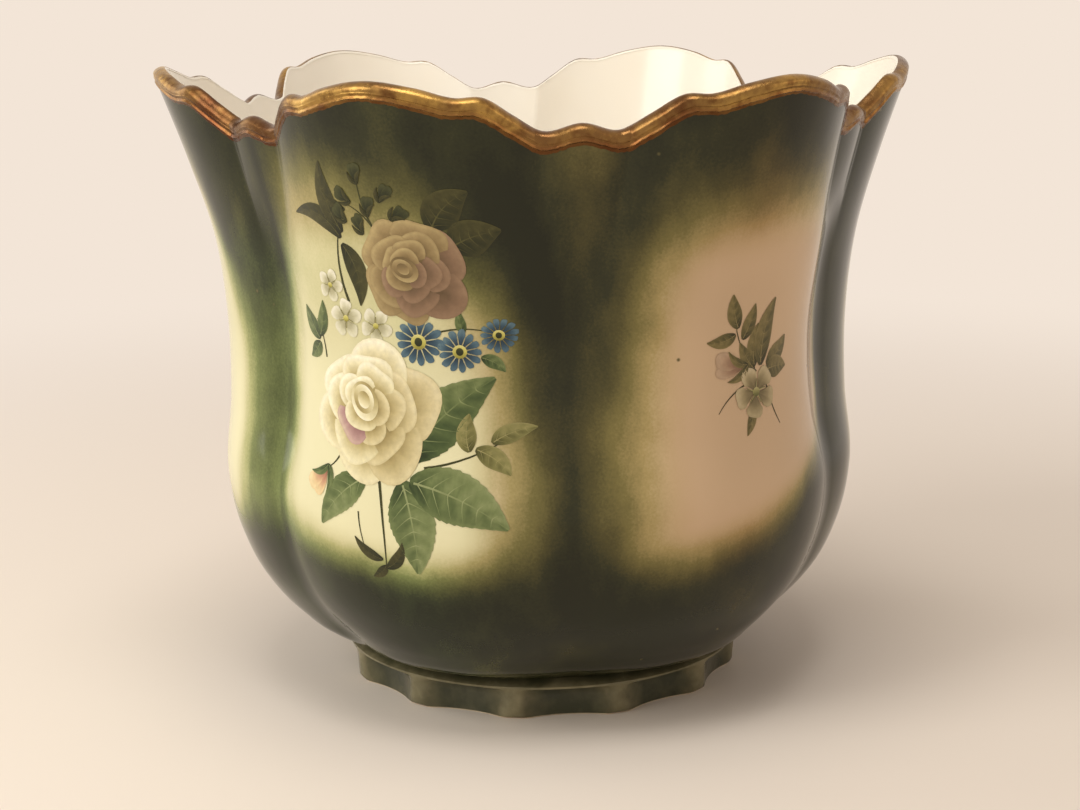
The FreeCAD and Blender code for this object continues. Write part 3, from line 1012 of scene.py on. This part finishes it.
def rose(art, centre, size, inks, shaded_inks, heart_inks, lean):
    """A full rose that leans to one side: loose outer petals round a wrapped heart."""
    rings = [(6, 0.34, 1.00, 40), (5, 0.26, 0.76, 44), (5, 0.16, 0.56, 42), (3, 0.08, 0.40, 64)]
    for count, start, reach, width in rings:
        middle = away_from(centre, lean, size * 0.22 * (1 - reach))
        first = art.chance.uniform(0, 360 / count)
        for parity in (0, 1):
            for number in range(parity, count, 2):
                turn = (first + number * 360 / count + art.chance.uniform(-10, 10)) % 360
                long = size * reach * art.chance.uniform(0.86, 1.08)
                ring_inks = shaded_inks if 270 < turn or turn < 45 else inks
                if reach == 0.56 and 190 < turn < 262:
                    ring_inks = heart_inks
                art.petal(middle, turn, size * start, long, width, ring_inks, 0.24, 0.05)
            art.layer += 1
    for share, away, dab_lean in [(0.27, 0.17, 125), (0.20, 0.20, 300), (0.12, 0.19, 140)]:
        spot = away_from(centre, lean, size * away)
        art.dab(spot, size * share, size * share * 0.8, lean, inks, dab_lean)
        art.layer += 1


def daisy(art, centre, size, inks, petals=13):
    """A daisy with narrow petals round a ring-shaped eye."""
    first = art.chance.uniform(0, 30)
    for number in range(petals):
        long = size * art.chance.uniform(0.90, 1.05)
        turn = first + number * 360 / petals
        art.petal(centre, turn, size * 0.2, long, 12.5, inks, 0.22, 0.02, 6, 7)
    art.layer += 1
    art.dab(centre, size * 0.31, size * 0.31, 0, eye_inks, 90)
    art.layer += 1
    art.dab(centre, size * 0.16, size * 0.18, 0, dark_inks, 90)
    art.layer -= 2


def blossom(art, centre, size, inks, heart_inks):
    """A small open blossom of five round petals with a few stamens."""
    first = art.chance.uniform(0, 72)
    for number in range(5):
        art.petal(centre, first + number * 72, size * 0.10, size, 33, inks, 0.30, 0.05, 8, 9)
    art.layer += 1
    for number in range(5):
        tip = away_from(centre, first + 36 + number * 72, size * 0.5)
        art.stroke(centre, tip, 0.05, size * 0.09, olive_inks)
    art.layer += 1
    art.dab(centre, size * 0.17, size * 0.17, 0, heart_inks, 90)
    art.layer -= 2


def bud(art, base, turn, size, inks, leaf_inks):
    """A closed bud with two sepals at its base."""
    for lean, reach in ((10, 0.94), (-9, 1.0)):
        art.petal(base, turn + lean, size * 0.06, size * reach, 21, inks, 0.45, 0.03, 9, 9)
        art.layer += 1
    for lean in (-30, 34):
        tip = away_from(base, turn + lean, size * 0.72)
        art.leaf(base, tip, size * 0.22, leaf_inks, 0.15, 0, 2)
    art.layer -= 2


# %% Inks, from dark to light
leaf_inks = [(38, 50, 28), (66, 82, 46), (98, 112, 66), (138, 148, 98), (170, 174, 126)]
light_leaf_inks = [(54, 68, 38), (88, 102, 60), (118, 130, 82), (150, 158, 110), (180, 182, 136)]
dull_leaf_inks = [(33, 36, 20), (48, 50, 27), (66, 64, 34), (88, 85, 48), (114, 109, 70)]
olive_inks = [(74, 74, 38), (106, 104, 58), (138, 134, 82), (164, 156, 104), (182, 172, 122)]
cream_inks = [(134, 118, 74), (180, 164, 112), (208, 196, 150), (230, 221, 180), (249, 244, 218)]
butter_inks = [(122, 106, 66), (166, 149, 99), (195, 180, 132), (218, 205, 160), (240, 231, 196)]
mauve_inks = [(118, 84, 80), (160, 122, 118), (190, 156, 148), (226, 212, 178)]
tan_rose_inks = [(98, 82, 52), (122, 103, 68), (140, 119, 80), (158, 137, 95), (184, 164, 116)]
pink_rose_inks = [(92, 74, 50), (114, 91, 68), (131, 104, 80), (146, 118, 92), (164, 139, 108)]
blossom_inks = [(158, 152, 116), (206, 202, 170), (238, 234, 214)]
daisy_inks = [(36, 52, 66), (58, 82, 98), (80, 106, 120), (110, 134, 140)]
eye_inks = [(124, 116, 48), (190, 182, 92), (220, 212, 140)]
dark_inks = [(34, 38, 20), (48, 52, 28), (74, 76, 44)]
rosebud_inks = [(150, 96, 78), (196, 150, 118), (226, 200, 150), (240, 224, 180)]
sepia_leaf_inks = [(54, 50, 29), (84, 78, 45), (117, 105, 63), (147, 131, 86), (168, 149, 104)]
sepia_bud_inks = [(112, 84, 64), (146, 114, 90), (174, 144, 116), (190, 164, 136)]
sepia_petal_inks = [(100, 88, 58), (142, 128, 92), (176, 160, 122), (198, 182, 148)]


# %% The large spray
def draw_rose_spray():
    """Two roses with daisies, blossoms, buds and leaves round them."""
    art = Print(21)
    for start, end, bow, width in [
        ((-9, 100), (-7, 67), 0.03, 1.2), ((-17, 86), (-14, 70), -0.04, 0.6),
        ((8, 103), (37, 115), -0.06, 0.9), ((-24, 108), (-31, 99), 0.10, 0.9),
        ((-19, 158), (-19, 184), 0.10, 1.1), ((-32, 137), (-36, 150), -0.06, 0.7),
        ((-4, 182), (-8, 204), 0.08, 0.8), ((-4, 182), (-14, 192), -0.10, 0.7),
        ((10, 148), (32, 149), 0.10, 0.7),
    ]:
        art.stroke(start, end, bow, width, [olive_inks[0], dark_inks[1]])
    art.layer = 1
    for base, tip, width, bow in [
        ((-8, 70), (-19, 77), 4, 0.12), ((-7, 67), (0, 77), 4.5, -0.15),
        ((-7, 68), (-13, 63), 3.5, 0.1),
        ((-18, 182), (-23, 206), 8, 0.10), ((-19, 180), (-40, 187), 7, -0.20),
        ((-19, 178), (-14, 157), 8, 0.12), ((15, 184), (28, 197), 12, 0.10),
        ((20, 178), (36, 184), 12.5, 0.06), ((-15, 190), (-24, 196), 3.5, 0.1),
    ]:
        art.leaf(base, tip, width, dull_leaf_inks, bow)
    for base, tip, width, bow in [
        ((-35, 143), (-42, 154), 6, 0.06), ((-35, 144), (-32, 157), 5.5, -0.06),
        ((-35, 142), (-41, 136), 5.5, 0.06), ((22, 149), (21, 157), 3.5, 0.05),
        ((27, 141), (34, 136), 4.5, 0.1),
    ]:
        art.leaf(base, tip, width, leaf_inks, bow, veins=3)
    for base, tip, width in [
        ((23, 109), (23, 122), 6.5), ((30, 112), (43, 117), 6.5), ((25, 110), (36, 101), 7),
    ]:
        art.leaf(base, tip, width, olive_inks, 0.08, veins=4)
    art.leaf((1, 105), (31, 134), 18, leaf_inks, 0.05, teeth=12, veins=6)
    art.leaf((0, 98), (5, 66), 16.5, light_leaf_inks, 0.06, teeth=12, veins=6)
    art.leaf((-14, 98), (-34, 79), 11.5, light_leaf_inks, -0.08, teeth=9, veins=5)
    art.layer = 3
    art.leaf((3, 98), (36, 83), 17.5, light_leaf_inks, 0.07, teeth=12, veins=6)
    bud(art, (-31, 100), 232, 13, rosebud_inks, leaf_inks)
    for centre, size in [((7, 146), 8.4), ((20.5, 143), 7.4), ((32.5, 148.5), 5.8)]:
        daisy(art, centre, size, daisy_inks)
    for base, turn in [
        ((-15, 186), 130), ((-8, 199), 95), ((-1, 193), 55), ((-12, 193), 150),
        ((2, 187), 35), ((-6, 188), 85), ((-9, 182), 110),
    ]:
        art.layer = 3
        bud(art, base, turn, 7.2, dark_inks, dull_leaf_inks)
    for centre, size in [((-27, 163), 5.6), ((-21, 152), 6.8), ((-8.5, 150.5), 6.2)]:
        art.layer = 3
        blossom(art, centre, size, blossom_inks, eye_inks)
    art.layer = 4
    rose(art, (7, 169), 19, tan_rose_inks, pink_rose_inks, pink_rose_inks, 150)
    art.layer = 4
    rose(art, (-13, 120), 25.5, cream_inks, butter_inks, mauve_inks, 110)
    return art


# %% The small sprig
def draw_sprig():
    """A few leaves, a bud and an open flower in one faded colour."""
    art = Print(8)
    for start, end, bow, width in [
        ((4, 131), (-6, 148), 0.08, 0.8), ((8, 130), (17, 111), -0.05, 0.8),
        ((2, 128), (-12, 118), -0.10, 0.7),
    ]:
        art.stroke(start, end, bow, width, sepia_leaf_inks[:2])
    art.layer = 1
    for base, tip, width, bow in [
        ((-5, 147), (-8, 159), 6, 0.05), ((-3, 143), (2, 155), 5.5, -0.05),
        ((-6, 145), (-17, 143), 5, 0.1), ((3, 133), (4, 148), 6, 0.08),
        ((9, 133), (19, 142), 7, -0.08), ((3, 118), (0, 109), 4, 0.05),
        ((3, 132), (-4, 142), 5, 0.05),
    ]:
        art.leaf(base, tip, width, sepia_leaf_inks, bow, veins=4)
    art.layer = 3
    art.leaf((6, 133), (12, 156), 8, sepia_leaf_inks, 0.08)
    art.leaf((9, 131), (20, 131), 8, sepia_leaf_inks, 0.06)
    bud(art, (0, 134), 178, 14, sepia_bud_inks, sepia_leaf_inks)
    art.layer = 5
    blossom(art, (4, 124), 9.5, sepia_petal_inks, olive_inks)
    return art


# %% [markdown]
# ## Firing the prints on
# The same two transfers are wrapped onto the front pair of lobes and onto the back pair. A
# point keeps its place across and up the panel as seen from straight in front of it, and its
# lift above the glaze.

# %% Prints on the panels
def ink_material(name):
    """Printed ink under the same clear gloss as the glaze round it."""
    material, tree, shader, place = new_material(name, Roughness=0.13, IOR=1.34)
    tint = stored(tree, "ink_colour", "Color")
    grain = spread(tree, noise(tree, place, 520, 3.0), 0.3, 0.7, 0.90, 1.06)
    tree.links.new(blend_colours(tree, 1.0, tint, grain, "MULTIPLY"), shader.inputs["Base Color"])
    rippled(tree, shader, 38.0, 0.02, 0.35)
    return material


def on_panel(crown, across, up, lift):
    """Points across and up a panel, wrapped onto the wall and lifted."""
    angle = np.zeros_like(across)
    # Each pass finds the radius nearer to the point's own angle
    for _ in range(6):
        radius = wall_radius(nearest_crease(crown + angle), up)
        angle = np.degrees(np.arcsin(across / radius))
    radial, upward = wall_lean(up)
    return place_round(crown + angle, radius + lift * radial, up + lift * upward)


def fire_print(name, art, crown, material, node):
    """Wraps a transfer onto the panel at a crown and puts it in its CAD node's place."""
    across, up, lift = np.concatenate(art.places).T
    faces = np.concatenate(art.faces).tolist()
    piece = add_piece(name, on_panel(crown, across, up, glaze + lift), faces, material)
    light = linear_light(np.concatenate(art.tints))
    colours = np.concatenate([light, np.ones((len(light), 1))], axis=1)
    stored = piece.data.attributes.new("ink_colour", "FLOAT_COLOR", "POINT")
    stored.data.foreach_set("color", colours.astype(np.float32).ravel())
    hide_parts(node)


prints = [
    ("rose_spray", draw_rose_spray(), 0, ink_material("flower_transfer"), "flower_transfer"),
    ("sprig", draw_sprig(), LOBE, ink_material("sprig_transfer"), "sprig_transfer"),
]
for label, crown in ((1, -HALF_LOBE), (2, 180 - HALF_LOBE)):
    for name, art, turn, ink, slot in prints:
        node = "%s_transfer_%d" % (name, label)
        fire_print("%s_%d" % (name, label), art, crown + turn, ink, node)
print("points in each print:", [row[1].count for row in prints])
